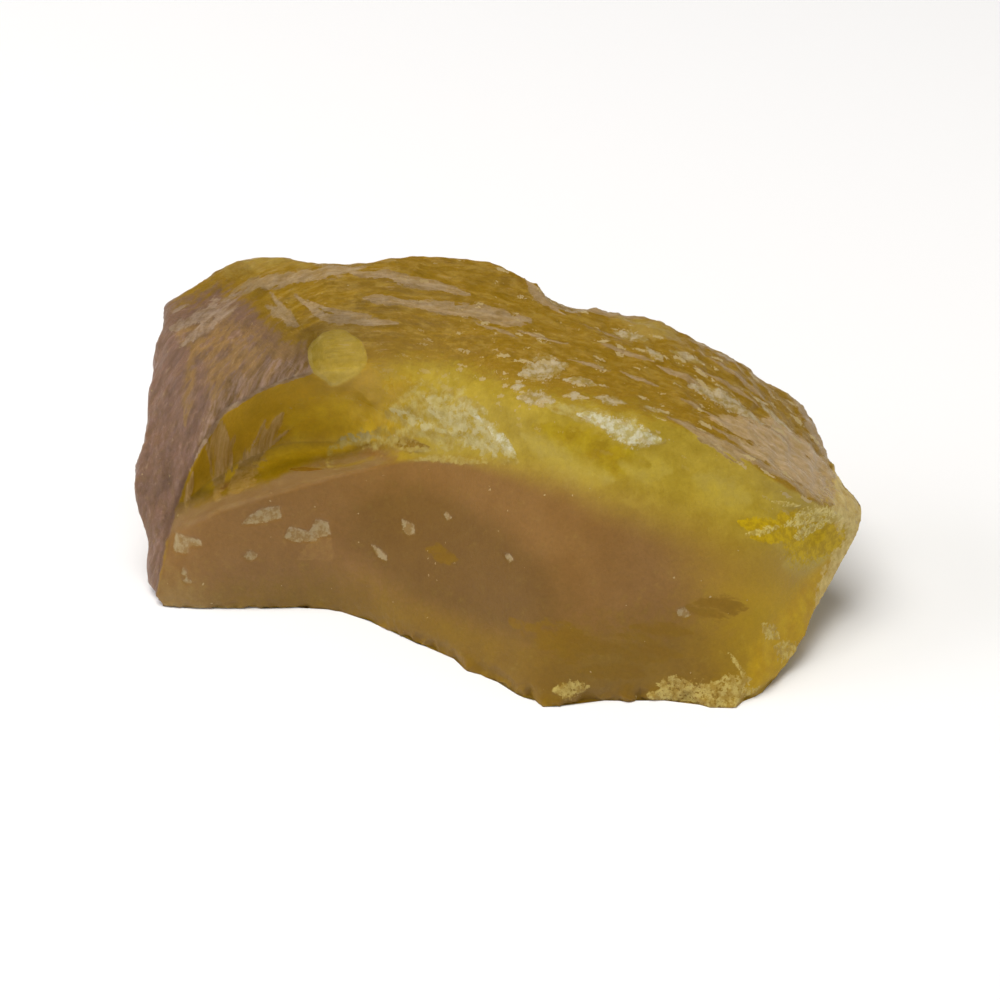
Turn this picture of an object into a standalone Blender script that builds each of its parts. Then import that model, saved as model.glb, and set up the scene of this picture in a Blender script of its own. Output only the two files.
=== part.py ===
"""Rough topaz: one broken lump of waxy yellow stone, lying on a flat cleavage face.

Run with:  blender --background --python part.py

The lump is 67 mm long, and lies with its length along X, its tall broken front towards -Y and its underside
on z = 0. Its skin is laid over rails, lines that run along the stone from the west end to the east end: the
edges between two fracture faces, and one or two lines across each face. Scoops, chips and a low relief are then
struck into that skin, and the bottom is cut off flat.
"""

import math

import bmesh
import bpy
import numpy as np
from mathutils import Matrix, Vector, noise

MM = 0.001

# ---------------------------------------------------------------------------------------------------------
# Driving dimensions, in millimetres. Each rail is a line on the stone's surface, given by 13 points from the
# west end to the east end. Point 0 is on the west end face, points 1 to 11 follow the stone's length, and
# point 12 is on the thin east edge.
# ---------------------------------------------------------------------------------------------------------

# The front face meets the underside.
FOOT = [
    (-31.9, -1.0, 0), (-31.3, -2.4, 0), (-25.7, -2.9, 0), (-19.7, -2.8, 0), (-14.1, -3.2, 0),
    (-8.5, -7.3, 0), (-3.7, -11.0, 0), (0.6, -14.9, 0), (4.8, -18.0, 0), (10.7, -16.9, 0),
    (16.4, -17.3, 0), (21.8, -17.7, 0), (26.0, -12.9, 1),
]
# Top edge of the front face.
RIM = [
    (-33.2, 3.0, 7.5), (-29.9, 0.6, 6), (-25.0, -0.3, 9.3), (-18.6, 0.6, 11.0), (-13.1, 1.3, 12.4),
    (-7.6, 1.3, 13.5), (-3.0, -0.8, 15), (1.5, -4.0, 16), (6.3, -7.0, 16.5), (12.3, -9.9, 15.5),
    (18.4, -11.1, 13.5), (24.7, -10.5, 10.5), (30.3, -6.2, 5),
]
# Floor of the hollow above the front face, which opens out eastwards into a plain bevel.
HOLLOW = [
    (-33.3, 3.1, 9.5), (-29.2, 2.2, 7.9), (-24.8, 5.0, 9.0), (-19.2, 7.0, 11.0), (-13.6, 7.0, 11.5),
    (-8.0, 2.8, 15.7), (-3.0, 0.7, 17.2), (2.4, -3.3, 17.9), (7.2, -5.9, 18.5), (12.8, -7.3, 17.8),
    (19.0, -7.7, 15.5), (25.7, -7.9, 12.5), (31.6, -4.7, 6.8),
]
# Roof of that hollow, and the upper part of the bevel.
ROOF = [
    (-32.6, 4.1, 11.3), (-28.4, 3.0, 10.2), (-25.0, 5.4, 12.6), (-20.6, 6.9, 14.2), (-15.2, 6.9, 16.2),
    (-8.8, 4.7, 18.4), (-3.0, 2.1, 19.9), (2.4, -2.2, 20.4), (7.6, -4.1, 20.5), (13.7, -5.3, 19.7),
    (19.9, -5.9, 17.5), (26.6, -7.0, 14), (32.9, -3.2, 8.5),
]
# The lip over the hollow, where the top of the stone begins.
LIP = [
    (-32.1, 5.6, 13.6), (-26.9, 3.6, 13.3), (-24.6, 4.6, 16.6), (-20.8, 5.2, 18.9), (-15.9, 5.9, 20.4),
    (-9.3, 6.0, 21.3), (-3.0, 4.2, 21.8), (2.8, -0.4, 21.9), (8.5, -2.3, 21.8), (14.6, -3.8, 21),
    (20.8, -5.2, 18.8), (27.0, -6.9, 15), (33.3, -2.3, 10),
]
# Two lines across the top.
BROW = [
    (-31.75, 7.8, 17.0), (-28.6, 5.8, 17.2), (-25.4, 6.2, 20.2), (-20.7, 6.5, 22.7), (-14.8, 7.2, 24.3),
    (-8.8, 7.6, 24.5), (-3.0, 6.4, 24.7), (3.3, 4.2, 23.9), (9.5, 2.2, 23), (16.2, 1.2, 21.5),
    (22.4, -1.6, 19), (27.9, -2.8, 14.8), (33.2, -1.1, 10.5),
]
CROWN = [
    (-31.05, 10.2, 20.4), (-29.4, 8.6, 21.5), (-25.4, 9.7, 24), (-20.8, 9.9, 26), (-14.8, 9.3, 26.8),
    (-8.9, 9.4, 27.4), (-3.0, 9.0, 27.1), (3.3, 8.3, 25.3), (9.6, 5.9, 24), (16.9, 5.5, 22.5),
    (23.7, 3.8, 19), (28.8, 2.3, 14.7), (32.2, -0.4, 11.0),
]
# The back edge of the top, which is the stone's skyline.
SKYLINE = [
    (-30.3, 12.6, 23), (-29.2, 12.1, 24.5), (-25.6, 13.0, 26.5), (-21.0, 13.9, 27.8), (-14.5, 11.9, 27.8),
    (-8.5, 11.4, 29.2), (-2.6, 11.6, 28.8), (4.0, 10.7, 27.4), (9.8, 10.7, 24.4), (17.1, 10.4, 23.0),
    (24.0, 8.4, 18.9), (28.8, 7.3, 15.6), (30.5, 0.9, 11.6),
]
# Two lines across the back.
BACK_HIGH = [
    (-31.0, 12.8, 17), (-29.5, 14.0, 18), (-25.5, 16.2, 18.5), (-20.5, 17.2, 19), (-14.5, 16.4, 19.5),
    (-8.5, 15.6, 20), (-2.5, 15.6, 19.5), (4.0, 15.2, 18), (10.5, 14.6, 16.5), (17.5, 13.6, 15),
    (24.0, 11.4, 12.5), (28.5, 8.4, 10.5), (30.2, 0.5, 9),
]
BACK_LOW = [
    (-31.2, 11.0, 9), (-29.2, 12.5, 9), (-25.0, 16.0, 9), (-20.0, 17.8, 9.5), (-14.5, 17.8, 9.5),
    (-8.5, 17.4, 10), (-2.0, 16.9, 9.5), (4.5, 16.4, 9), (11.0, 15.6, 8), (17.0, 14.0, 7.5),
    (23.0, 11.0, 6), (27.2, 7.0, 5), (28.6, -2.0, 5),
]
# The back meets the underside.
HEEL = [
    (-30.0, 8.5, 0), (-28.0, 10.5, 0), (-24.5, 14.0, 0), (-20.0, 16.0, 0), (-14.0, 17.0, 0),
    (-8.0, 17.2, 0), (-2.0, 16.6, 0), (4.5, 15.8, 0), (10.5, 14.6, 0), (16.5, 12.6, 0),
    (22.0, 9.5, 0), (25.5, 5.0, 0), (26.5, -5.0, 0.8),
]

WEST_TIP = (-32.1, 8.6, 11.5)
EAST_TIP = (29.9, -3.6, 5.5)
# The ends of the two lines across the front face, where its outline leaves a straight line.
WEST_EDGE_LOW = (-31.8, 0.3, 2.6)
WEST_EDGE_HIGH = (-32.1, 1.9, 5.0)
EAST_EDGE_LOW = (27.5, -12.3, 2.5)
EAST_EDGE_HIGH = (29.2, -8.4, 4.0)
BELOW_THE_CUT = 1.5
WEST_GRAIN = Vector((-0.25, 0.10, 0.96)).normalized()

# Scars of flakes struck off by single blows: the middle of the scar, the way it faces, its length along the
# stone, its width across it, and how deep it is in its middle.
SCARS = [
    # the round chip over the hollow
    ((-13.4, 6.4, 21.2), (-0.08, -0.88, 0.47), 5.0, 4.8, 0.26),
    # the notch in the skyline and the long sliver east of it
    ((7.3, 11.0, 25.2), (0.15, 0.10, 0.98), 5.2, 6.5, 1.15),
    ((21.5, 8.6, 20.6), (0.40, 0.30, 0.86), 11.0, 4.4, 0.30),
    # the broken lower east corner
    ((25.0, -13.6, 3.8), (0.72, -0.64, 0.26), 8.0, 5.0, 0.30),
    ((28.6, -9.0, 4.6), (0.80, -0.56, 0.14), 5.0, 3.4, 0.18),
    # the big blows on the back and the west end
    ((-24.0, 16.4, 11.0), (-0.35, 0.93, 0.10), 15.0, 13.0, 0.90),
    ((-12.0, 17.4, 14.0), (0.05, 0.98, 0.15), 17.0, 12.0, 0.90),
    ((0.0, 17.0, 7.0), (0.05, 0.99, -0.05), 14.0, 11.0, 0.80),
    ((9.5, 16.0, 12.0), (0.15, 0.95, 0.25), 15.0, 10.0, 0.80),
    ((19.5, 13.4, 8.5), (0.45, 0.88, 0.10), 13.0, 10.0, 0.75),
    ((-16.5, 17.8, 4.0), (-0.10, 0.98, -0.15), 11.0, 8.0, 0.60),
    ((26.4, 7.8, 8.0), (0.85, 0.50, 0.10), 7.0, 8.0, 0.50),
    ((-32.0, 9.0, 8.0), (-0.98, 0.12, -0.10), 8.0, 9.0, 0.45),
    # the pocket near the east tip
    ((28.7, -6.6, 11.1), (0.52, -0.84, 0.14), 3.6, 3.0, 0.70),
]
# Knobs of pale crust standing on the bevel and the top: middle, radius and height.
KNOBS = [
    ((-5.6, 3.0, 18.5), 2.2, 0.30),
    ((-2.4, 1.3, 18.2), 2.6, 0.45),
    ((0.6, -1.6, 17.6), 1.8, 0.40),
    ((10.2, -4.0, 21.0), 1.8, 0.35),
    ((13.2, -4.7, 20.4), 2.0, 0.45),
    ((8.6, 3.0, 23.4), 1.8, 0.20),
]

# Low swells over the whole skin: their height and how far apart they are.
SWELL = 0.25
SWELL_SPACING = 9.0
# The grain of the break: long low ridges along the top, and steep ones down the west face.
GRAIN = 0.28
GRAIN_WIDTH = 2.6
GRAIN_LENGTH = 13.0
FLUTE = 0.20
FLUTE_WIDTH = 2.0
FLUTE_LENGTH = 10.0
FLUTED_TO_X = -15.0
# Both fade out over this height above the lip, so that the lip stays a clean line.
GRAIN_FADE = 1.5
# Small random flake scars on the back: their widths, their lengths and depths as shares of the width, and how
# far from the middle of the stone they reach.
SEED = 41
BACK_CHIPS = 26
BACK_CHIP_WIDTHS = (3.5, 8.0)
BACK_CHIP_STRETCH = (1.1, 2.2)
BACK_CHIP_DISH = (0.04, 0.08)
BACK_CHIP_REACH = 27.0

SKIN_LEVELS = 4
FITTING_ROUNDS = 5
FITTING_STEP = 0.8
# Before the flat cut, which takes away the triangles below it.
TRIANGLES = 9900
CREASE_ANGLE = math.radians(28)

STONE_COLOUR = (0.41, 0.27, 0.035, 1.0)
STONE_ROUGHNESS = 0.35


def clear_scene():
    for leftover in list(bpy.data.objects):
        bpy.data.objects.remove(leftover, do_unlink=True)


def between(first, second, share, swell=(0, 0, 0)):
    """A rail a share of the way from one rail to another, swelling most at the middle of its length."""
    rail = []
    for i, (a, b) in enumerate(zip(first, second)):
        middle = math.sin(math.pi * i / (len(first) - 1))
        rail.append(tuple(Vector(a).lerp(Vector(b), share) + Vector(swell) * middle))
    return rail


def carried_below(edge, above):
    """The edge of the underside carried down past z = 0 along the face over it, for the flat cut."""
    rail = []
    for low, high in zip(edge, above):
        low, high = Vector(low), Vector(high)
        slope = (low - high) / (high.z - low.z)
        rail.append(tuple(low + slope * (low.z + BELOW_THE_CUT)))
    return rail


def stone_rails():
    """Every rail in order round the stone: up the front, over the top, down the back and under."""
    face_low = between(FOOT, RIM, 0.33, (0, -0.9, 0.3))
    face_high = between(FOOT, RIM, 0.70, (0, -0.7, 0.3))
    face_low[0], face_low[-1] = WEST_EDGE_LOW, EAST_EDGE_LOW
    face_high[0], face_high[-1] = WEST_EDGE_HIGH, EAST_EDGE_HIGH
    foot = carried_below(FOOT, face_low)
    heel = carried_below(HEEL, BACK_LOW)
    return {
        "foot": foot,
        "face_low": face_low,
        "face_high": face_high,
        "rim": RIM,
        "hollow": HOLLOW,
        "roof": ROOF,
        "lip": LIP,
        "brow": BROW,
        "crown": CROWN,
        "skyline": SKYLINE,
        "back_high": BACK_HIGH,
        "back_low": BACK_LOW,
        "heel": heel,
        "sole_back": between(heel, foot, 0.33),
        "sole_front": between(heel, foot, 0.67),
    }


# How sharp each rail is, at the points where it changes: 0 is smooth and 1 is a knife edge.
SHARPNESS = {
    "foot": [(0, 1.0), (12, 1.0)],
    "rim": [(0, 0.0), (1, 0.8), (5, 0.75), (7, 0.25), (9, 0.0), (12, 0.0)],
    "lip": [(0, 0.0), (1, 1.0), (4, 0.9), (5, 0.3), (6, 0.0), (8, 0.2), (9, 0.8), (12, 0.8)],
    "skyline": [(0, 0.2), (2, 0.4), (12, 0.6)],
    "back_low": [(0, 0.0), (4, 0.5), (8, 0.3), (12, 0.0)],
    "heel": [(0, 1.0), (12, 1.0)],
}
# The corner between the west end and the front is sharp from the foot up to the lip.
WEST_CORNER_RAILS = ["foot", "face_low", "face_high", "rim", "hollow", "roof", "lip"]
WEST_CORNER_SHARPNESS = 0.75
EAST_EDGE_SHARPNESS = 0.8
WEST_EDGE_SHARPNESS = 0.5


def cage(points, rails):
    """The control mesh of the stone over these points, with its sharp rails creased."""
    names = list(rails)
    around, along = len(names), len(FOOT)

    def corner(rail, station):
        return station * around + rail % around

    west, east = around * along, around * along + 1
    faces = [
        (corner(r, s), corner(r, s + 1), corner(r + 1, s + 1), corner(r + 1, s))
        for s in range(along - 1)
        for r in range(around)
    ]
    faces += [(west, corner(r, 0), corner(r + 1, 0)) for r in range(around)]
    faces += [(east, corner(r + 1, along - 1), corner(r, along - 1)) for r in range(around)]
    mesh = bpy.data.meshes.new("stone cage")
    mesh.from_pydata([tuple(p) for p in points], [], faces)
    mesh.update()

    creases = {}
    for name, steps in SHARPNESS.items():
        rail = names.index(name)
        stations, values = zip(*steps)
        for s in range(along - 1):
            edge = frozenset((corner(rail, s), corner(rail, s + 1)))
            creases[edge] = float(np.interp(s + 0.5, stations, values))
    for first, second in zip(WEST_CORNER_RAILS, WEST_CORNER_RAILS[1:]):
        edge = frozenset((corner(names.index(first), 1), corner(names.index(second), 1)))
        creases[edge] = WEST_CORNER_SHARPNESS
    for rail in range(around):
        edge = frozenset((corner(rail, along - 1), corner(rail + 1, along - 1)))
        creases[edge] = EAST_EDGE_SHARPNESS
        edge = frozenset((corner(rail, 0), corner(rail + 1, 0)))
        creases[edge] = WEST_EDGE_SHARPNESS
    layer = mesh.attributes.new("crease_edge", "FLOAT", "EDGE")
    for edge in mesh.edges:
        layer.data[edge.index].value = creases.get(frozenset(edge.vertices), 0.0)
    return mesh


def skin_of(mesh, levels):
    """The smooth skin that subdividing a control mesh gives, as an evaluated copy."""
    holder = bpy.data.objects.new("skin holder", mesh)
    bpy.context.scene.collection.objects.link(holder)
    subdivision = holder.modifiers.new("Skin", "SUBSURF")
    subdivision.levels = subdivision.render_levels = levels
    graph = bpy.context.evaluated_depsgraph_get()
    skin = bpy.data.meshes.new_from_object(holder.evaluated_get(graph))
    bpy.data.objects.remove(holder)
    return skin


def positions(mesh):
    flat = np.empty(len(mesh.vertices) * 3)
    mesh.vertices.foreach_get("co", flat)
    return flat.reshape(-1, 3)


def normals(mesh):
    flat = np.empty(len(mesh.vertices) * 3)
    mesh.vertices.foreach_get("normal", flat)
    return flat.reshape(-1, 3)


def stone_skin():
    """The skin, drawn so that it passes through the rails' own points."""
    rails = stone_rails()
    on_skin = [rails[name][s] for s in range(len(FOOT)) for name in rails]
    on_skin = np.array(on_skin + [WEST_TIP, EAST_TIP], float)
    control = on_skin.copy()
    for _ in range(FITTING_ROUNDS):
        reached = positions(skin_of(cage(control, rails), 2))[: len(control)]
        control += FITTING_STEP * (on_skin - reached)
    return skin_of(cage(control, rails), SKIN_LEVELS)


def along_stone(x):
    """The way the long fractures run at this distance along the stone."""
    east = (x + 20) / 47
    east = min(max(east, 0.0), 1.0)
    return Vector((1.0, -0.05, 0.10)).lerp(Vector((0.85, -0.33, -0.40)), east).normalized()


def strike(points, middle, facing, length, width, depth):
    """Leaves the dished scar of one flake: what stands inside a ball over the scar drops to the ball's skin.

    The ball is stretched along the stone by length / width, and its radius gives a dish of that width and depth
    in flat ground.
    """
    facing = np.array(Vector(facing).normalized())
    along = np.array(along_stone(middle[0]))
    along -= facing * (along @ facing)
    along /= np.linalg.norm(along)
    stretch = length / width
    radius = (width * width / 4 + depth * depth) / (2 * depth)
    offset = points - (middle + facing * (radius - depth))
    offset -= np.outer(offset @ along, along) * (1 - 1 / stretch)
    distance = np.linalg.norm(offset, axis=1)
    reach = max(length, width)
    strength = np.clip(3 * (1 - np.linalg.norm(points - middle, axis=1) / reach), 0, 1)
    struck = (distance < radius) & (strength > 0)
    pushed = offset[struck] * (strength[struck] * (radius / distance[struck] - 1))[:, None]
    pushed += np.outer(pushed @ along, along) * (stretch - 1)
    points[struck] += pushed


def ridged(along, point, width, length):
    """Low sharp ridges, this far apart and this long, that run along a direction: from -0.5 to 0.5."""
    run = point.dot(along)
    spot = (point - along * run) / width + along * (run / length)
    return 0.5 - 2 * abs(noise.noise(spot))


def break_skin(mesh):
    """The relief of the broken stone: slow swells, the grain of the break, knobs of crust, and scars."""
    points, facing = positions(mesh), normals(mesh)
    random = np.random.default_rng(SEED)

    swells = [noise.noise(Vector(p) / SWELL_SPACING) for p in points]
    over_lip = points[:, 2] - np.interp(points[:, 0], [x for x, _, _ in LIP], [z for _, _, z in LIP])
    grained = np.clip(over_lip / GRAIN_FADE, 0, 1)
    top = grained * np.clip((facing[:, 2] - 0.3) / 0.3, 0, 1)
    west = grained * (1 - top) * np.clip((FLUTED_TO_X - points[:, 0]) / 6, 0, 1)
    grain = [ridged(along_stone(p[0]), Vector(p), GRAIN_WIDTH, GRAIN_LENGTH) for p in points]
    flutes = [ridged(WEST_GRAIN, Vector(p), FLUTE_WIDTH, FLUTE_LENGTH) for p in points]
    relief = SWELL * np.array(swells) + GRAIN * top * np.array(grain) + FLUTE * west * np.array(flutes)
    points += facing * relief[:, None]
    for middle, radius, height in KNOBS:
        distance = np.linalg.norm(points - middle, axis=1)
        points += facing * (height * np.exp(-((1.5 * distance / radius) ** 2)))[:, None]
    for middle, way, length, width, depth in SCARS:
        strike(points, np.array(middle), way, length, width, depth)

    on_back = (facing[:, 1] > 0.5) & (np.abs(points[:, 0]) < BACK_CHIP_REACH) & (points[:, 2] > 0)
    for vertex in random.choice(np.flatnonzero(on_back), BACK_CHIPS):
        way = Vector(facing[vertex]) + Vector(random.normal(0, 0.12, 3))
        width = random.uniform(*BACK_CHIP_WIDTHS)
        length = width * random.uniform(*BACK_CHIP_STRETCH)
        depth = width * random.uniform(*BACK_CHIP_DISH)
        strike(points, points[vertex].copy(), way, length, width, depth)
    mesh.vertices.foreach_set("co", points.ravel())
    mesh.update()


def cut_flat(mesh):
    """Cuts the stone off at z = 0 and closes it with one flat face."""
    edit = bmesh.new()
    edit.from_mesh(mesh)
    cut = bmesh.ops.bisect_plane(
        edit,
        geom=list(edit.verts) + list(edit.edges) + list(edit.faces),
        dist=0.0001,
        plane_co=(0, 0, 0),
        plane_no=(0, 0, -1),
        clear_outer=True,
    )
    open_edges = [e for e in cut["geom_cut"] if isinstance(e, bmesh.types.BMEdge)]
    bmesh.ops.contextual_create(edit, geom=open_edges)
    edit.to_mesh(mesh)
    edit.free()


def thinned(mesh, triangles):
    """The same surface with fewer triangles, which gather where it bends."""
    holder = bpy.data.objects.new("thinning holder", mesh)
    bpy.context.scene.collection.objects.link(holder)
    mesh.calc_loop_triangles()
    decimate = holder.modifiers.new("Thin", "DECIMATE")
    decimate.ratio = triangles / len(mesh.loop_triangles)
    graph = bpy.context.evaluated_depsgraph_get()
    thin = bpy.data.meshes.new_from_object(holder.evaluated_get(graph))
    bpy.data.objects.remove(holder)
    return thin


def centred(mesh):
    """Moves the stone so that the middle of its underside's box is the origin."""
    points = positions(mesh)
    low, high = points.min(axis=0), points.max(axis=0)
    middle = Vector((low + high) / 2)
    mesh.transform(Matrix.Translation((-middle.x, -middle.y, 0)))


def stone_material():
    material = bpy.data.materials.new("topaz")
    material.use_nodes = True
    surface = material.node_tree.nodes["Principled BSDF"]
    surface.inputs["Base Color"].default_value = STONE_COLOUR
    surface.inputs["Roughness"].default_value = STONE_ROUGHNESS
    return material


def main():
    clear_scene()
    skin = stone_skin()
    break_skin(skin)
    stone_mesh = thinned(skin, TRIANGLES)
    cut_flat(stone_mesh)
    centred(stone_mesh)
    stone_mesh.transform(Matrix.Scale(MM, 4))
    stone_mesh.shade_smooth()
    stone_mesh.set_sharp_from_angle(angle=CREASE_ANGLE)
    stone = bpy.data.objects.new("topaz", stone_mesh)
    bpy.context.scene.collection.objects.link(stone)
    stone_mesh.materials.append(stone_material())


main()
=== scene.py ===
"""Rough topaz: the looks of one broken lump of cloudy yellow topaz, lying on a flat cleavage face.

The stone lies along X with its tall front towards -Y. Lengths below are in millimetres on the stone, and are
turned to metres when a mesh is made. Height is measured from the table that the stone lies on.
"""

import math

import bmesh
import bpy
import numpy as np
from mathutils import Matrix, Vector, kdtree, noise


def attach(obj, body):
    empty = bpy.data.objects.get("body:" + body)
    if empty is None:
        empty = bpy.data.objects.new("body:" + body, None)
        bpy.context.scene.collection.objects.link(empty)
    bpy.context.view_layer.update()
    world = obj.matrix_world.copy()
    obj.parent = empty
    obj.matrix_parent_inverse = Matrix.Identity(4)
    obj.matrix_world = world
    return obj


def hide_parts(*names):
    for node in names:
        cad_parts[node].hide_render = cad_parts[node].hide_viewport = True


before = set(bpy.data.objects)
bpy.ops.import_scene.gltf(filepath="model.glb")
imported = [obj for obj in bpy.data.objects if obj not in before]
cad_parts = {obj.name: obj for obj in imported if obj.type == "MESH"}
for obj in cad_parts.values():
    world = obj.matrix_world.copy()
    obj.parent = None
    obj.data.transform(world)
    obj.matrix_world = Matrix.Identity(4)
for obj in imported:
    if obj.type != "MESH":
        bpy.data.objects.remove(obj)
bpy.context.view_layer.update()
MM = 0.001

# ---------------------------------------------------------------------------------------------------------
# The stone's skin. Topaz is a hard, brittle mineral: a broken lump has smooth, gently curved faces that meet
# in crisp edges, and no layer or coat on it. The solid's facets are smoothed away here, its true edges stay.
# ---------------------------------------------------------------------------------------------------------

SKIN_SPACING = 0.22
SKIN_TRIANGLES = 196000
# An edge of the solid this sharp is a true one. The skin keeps still this near to it, and is free this far
# off. It keeps still along the foot too.
CRISP_ANGLE = math.radians(24)
CRISP_WITHIN = 0.30
SMOOTH_BEYOND = 1.0
LEAST_FREE = 0.04
FOOT_BAND = 0.15
SMOOTHING_ROUNDS = 26

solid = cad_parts["topaz"]
stone_mesh = solid.data.copy()
edit = bmesh.new()
edit.from_mesh(stone_mesh)
bmesh.ops.remove_doubles(edit, verts=edit.verts, dist=0.001 * MM)
crisp_spots = []
for edge in edit.edges:
    if edge.is_convex and edge.calc_face_angle(0) > CRISP_ANGLE:
        first, second = (corner.co for corner in edge.verts)
        steps = math.ceil((second - first).length / (SKIN_SPACING * MM))
        crisp_spots += [first.lerp(second, step / steps) for step in range(steps + 1)]
edit.to_mesh(stone_mesh)
edit.free()

stone = bpy.data.objects.new("stone", stone_mesh)
bpy.context.scene.collection.objects.link(stone)


def bake_modifiers(piece):
    """Leaves the piece with the mesh that its modifiers make, and with no modifiers."""
    graph = bpy.context.evaluated_depsgraph_get()
    made = bpy.data.meshes.new_from_object(piece.evaluated_get(graph))
    piece.modifiers.clear()
    piece.data = made


def places(mesh):
    """Where the mesh's points are, in millimetres."""
    flat = np.empty(len(mesh.vertices) * 3)
    mesh.vertices.foreach_get("co", flat)
    return flat.reshape(-1, 3) / MM


def facings(mesh):
    """Which way the skin faces at each of the mesh's points."""
    flat = np.empty(len(mesh.vertices) * 3)
    mesh.vertices.foreach_get("normal", flat)
    return flat.reshape(-1, 3)


def name_points(piece, name, amounts):
    """Gives the piece a vertex group with this amount, from 0 to 1, at each point."""
    group = piece.vertex_groups.new(name=name)
    for step in range(101):
        chosen = np.flatnonzero(np.round(amounts * 100) == step)
        if step and len(chosen):
            group.add(chosen.tolist(), step / 100, "REPLACE")


fine = stone.modifiers.new("Fine skin", "REMESH")
fine.mode = "VOXEL"
fine.voxel_size = SKIN_SPACING * MM
fine.use_smooth_shade = True
bake_modifiers(stone)

crisp_tree = kdtree.KDTree(len(crisp_spots))
for index, spot in enumerate(crisp_spots):
    crisp_tree.insert(spot, index)
crisp_tree.balance()
from_edge = np.array([crisp_tree.find(vertex.co)[2] for vertex in stone.data.vertices]) / MM
height = places(stone.data)[:, 2]
free = np.clip((from_edge - CRISP_WITHIN) / (SMOOTH_BEYOND - CRISP_WITHIN), LEAST_FREE, 1)
free[height < FOOT_BAND] = 0
name_points(stone, "free to smooth", free)
smooth = stone.modifiers.new("Smooth", "SMOOTH")
smooth.factor = 0.5
smooth.iterations = SMOOTHING_ROUNDS
smooth.vertex_group = "free to smooth"
bake_modifiers(stone)

# The underside and the back are seen less closely, so they keep fewer points.
facing = facings(stone.data)
hidden = np.clip((facing[:, 1] - 0.35) / 0.3, 0, 1) * 0.6
hidden[places(stone.data)[:, 2] < 0.05] = 1
stone.vertex_groups.clear()
name_points(stone, "thin out", hidden)
thin = stone.modifiers.new("Thin out", "DECIMATE")
thin.vertex_group = "thin out"
thin.vertex_group_factor = 1000
stone.data.calc_loop_triangles()
thin.ratio = SKIN_TRIANGLES / len(stone.data.loop_triangles)
bake_modifiers(stone)
stone.vertex_groups.clear()
stone.data.shade_smooth()

# ---------------------------------------------------------------------------------------------------------
# The lines that part the stone's faces, as (along, height). The rim is the top edge of the tall front
# face. The lip is where the top of the stone begins. Between the two lie the hollow, to the west, and the
# bevel, to the east.
# ---------------------------------------------------------------------------------------------------------

RIM = np.array([
    (-33.2, 7.0), (-29.9, 6.0), (-25.0, 9.2), (-18.6, 10.9), (-13.1, 12.3), (-7.6, 13.5), (-3.0, 15.0),
    (1.5, 16.0), (6.3, 16.5), (12.3, 15.5), (18.4, 13.5), (24.7, 10.5), (30.3, 5.0),
])
LIP = np.array([
    (-33.0, 4.0), (-29.9, 6.0), (-29.2, 7.9), (-28.4, 10.2), (-26.9, 13.3), (-24.6, 16.6), (-20.8, 18.9),
    (-15.9, 20.4), (-9.3, 21.3), (-3.0, 21.8), (2.8, 21.9), (8.5, 21.8), (14.6, 21.0), (20.8, 18.8),
    (27.0, 15.0), (33.3, 10.0),
])
# The corner between the front and the fluted west end, as (height, along), and the top edge of that end.
WEST_CORNER = np.array([
    (0.0, -31.3), (6.0, -29.9), (7.9, -29.2), (10.2, -28.4), (13.3, -26.9), (16.6, -24.6), (18.9, -20.8),
    (20.4, -15.9),
])
WEST_CREST = np.array([
    (-33.0, 23.8), (-28.6, 24.8), (-25.4, 25.8), (-22.6, 25.4), (-19.5, 23.4), (-17.5, 22.4), (-15.9, 20.9),
])

points = places(stone.data)
facing = facings(stone.data)
along, across, height = points.T


def eased(amount):
    """0 below 0, 1 above 1, and a smooth step between."""
    amount = np.clip(amount, 0, 1)
    return amount * amount * (3 - 2 * amount)


def past(distance, softness):
    """How far a point is past a line: 0.5 on the line, and 1 this far past it."""
    return np.clip(0.5 + distance / (2 * softness), 0, 1)


rim_height = np.interp(along, *RIM.T)
lip_height = np.interp(along, *LIP.T)
west_corner = np.interp(height, *WEST_CORNER.T)
west_crest = np.interp(along, *WEST_CREST.T)
# How much each point faces forwards: as the front does, as any side but the back does, and as all does that
# isn't turned squarely backwards.
forwards = eased((0.1 - facing[:, 1]) / 0.3)
before = eased((0.35 - facing[:, 1]) / 0.3)
not_behind = eased((0.8 - facing[:, 1]) / 0.3)
# The rim and the lip are crisp in the west, and fade out where the faces run into each other further east.
rim_softness = np.interp(along, [-30, -8, -2, 4, 12, 30], [0.25, 0.3, 0.8, 1.8, 3.0, 3.4])
lip_softness = np.interp(along, [-16, -8, 12, 20], [0.4, 2.4, 1.2, 0.5])
HOLLOW_END = -9.0
FLUTES_END = -15.6
# Each zone is how much of it there is at each point, from 0 to 1. The bevel lies under all the others.
zones = {"bevel": np.ones(len(points))}
zones["top"] = past(height - lip_height, lip_softness)
zones["back"] = past(facing[:, 1] - 0.35, 0.25)
zones["hollow"] = past(HOLLOW_END - along, 6.0) * before
zones["west"] = past(west_corner - along, 0.35) * past(west_crest - height, 2.2)
zones["west"] *= past(FLUTES_END - along, 0.8) * not_behind
zones["front"] = past(rim_height - height, rim_softness) * past(5.2 - across, 0.8)
zones["front"] *= forwards * (1 - zones["west"])

# ---------------------------------------------------------------------------------------------------------
# Marks of the break. A fracture runs through topaz in long splinters: thin flakes stay on the top and in the
# hollow, with a fine feathered edge, and catch the light; their paleness is a painted reflection. Crust is
# where the break ran through healed cracks: pale, sugary grains. Each mark is a path on the stone, with a
# width.
# ---------------------------------------------------------------------------------------------------------


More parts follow.
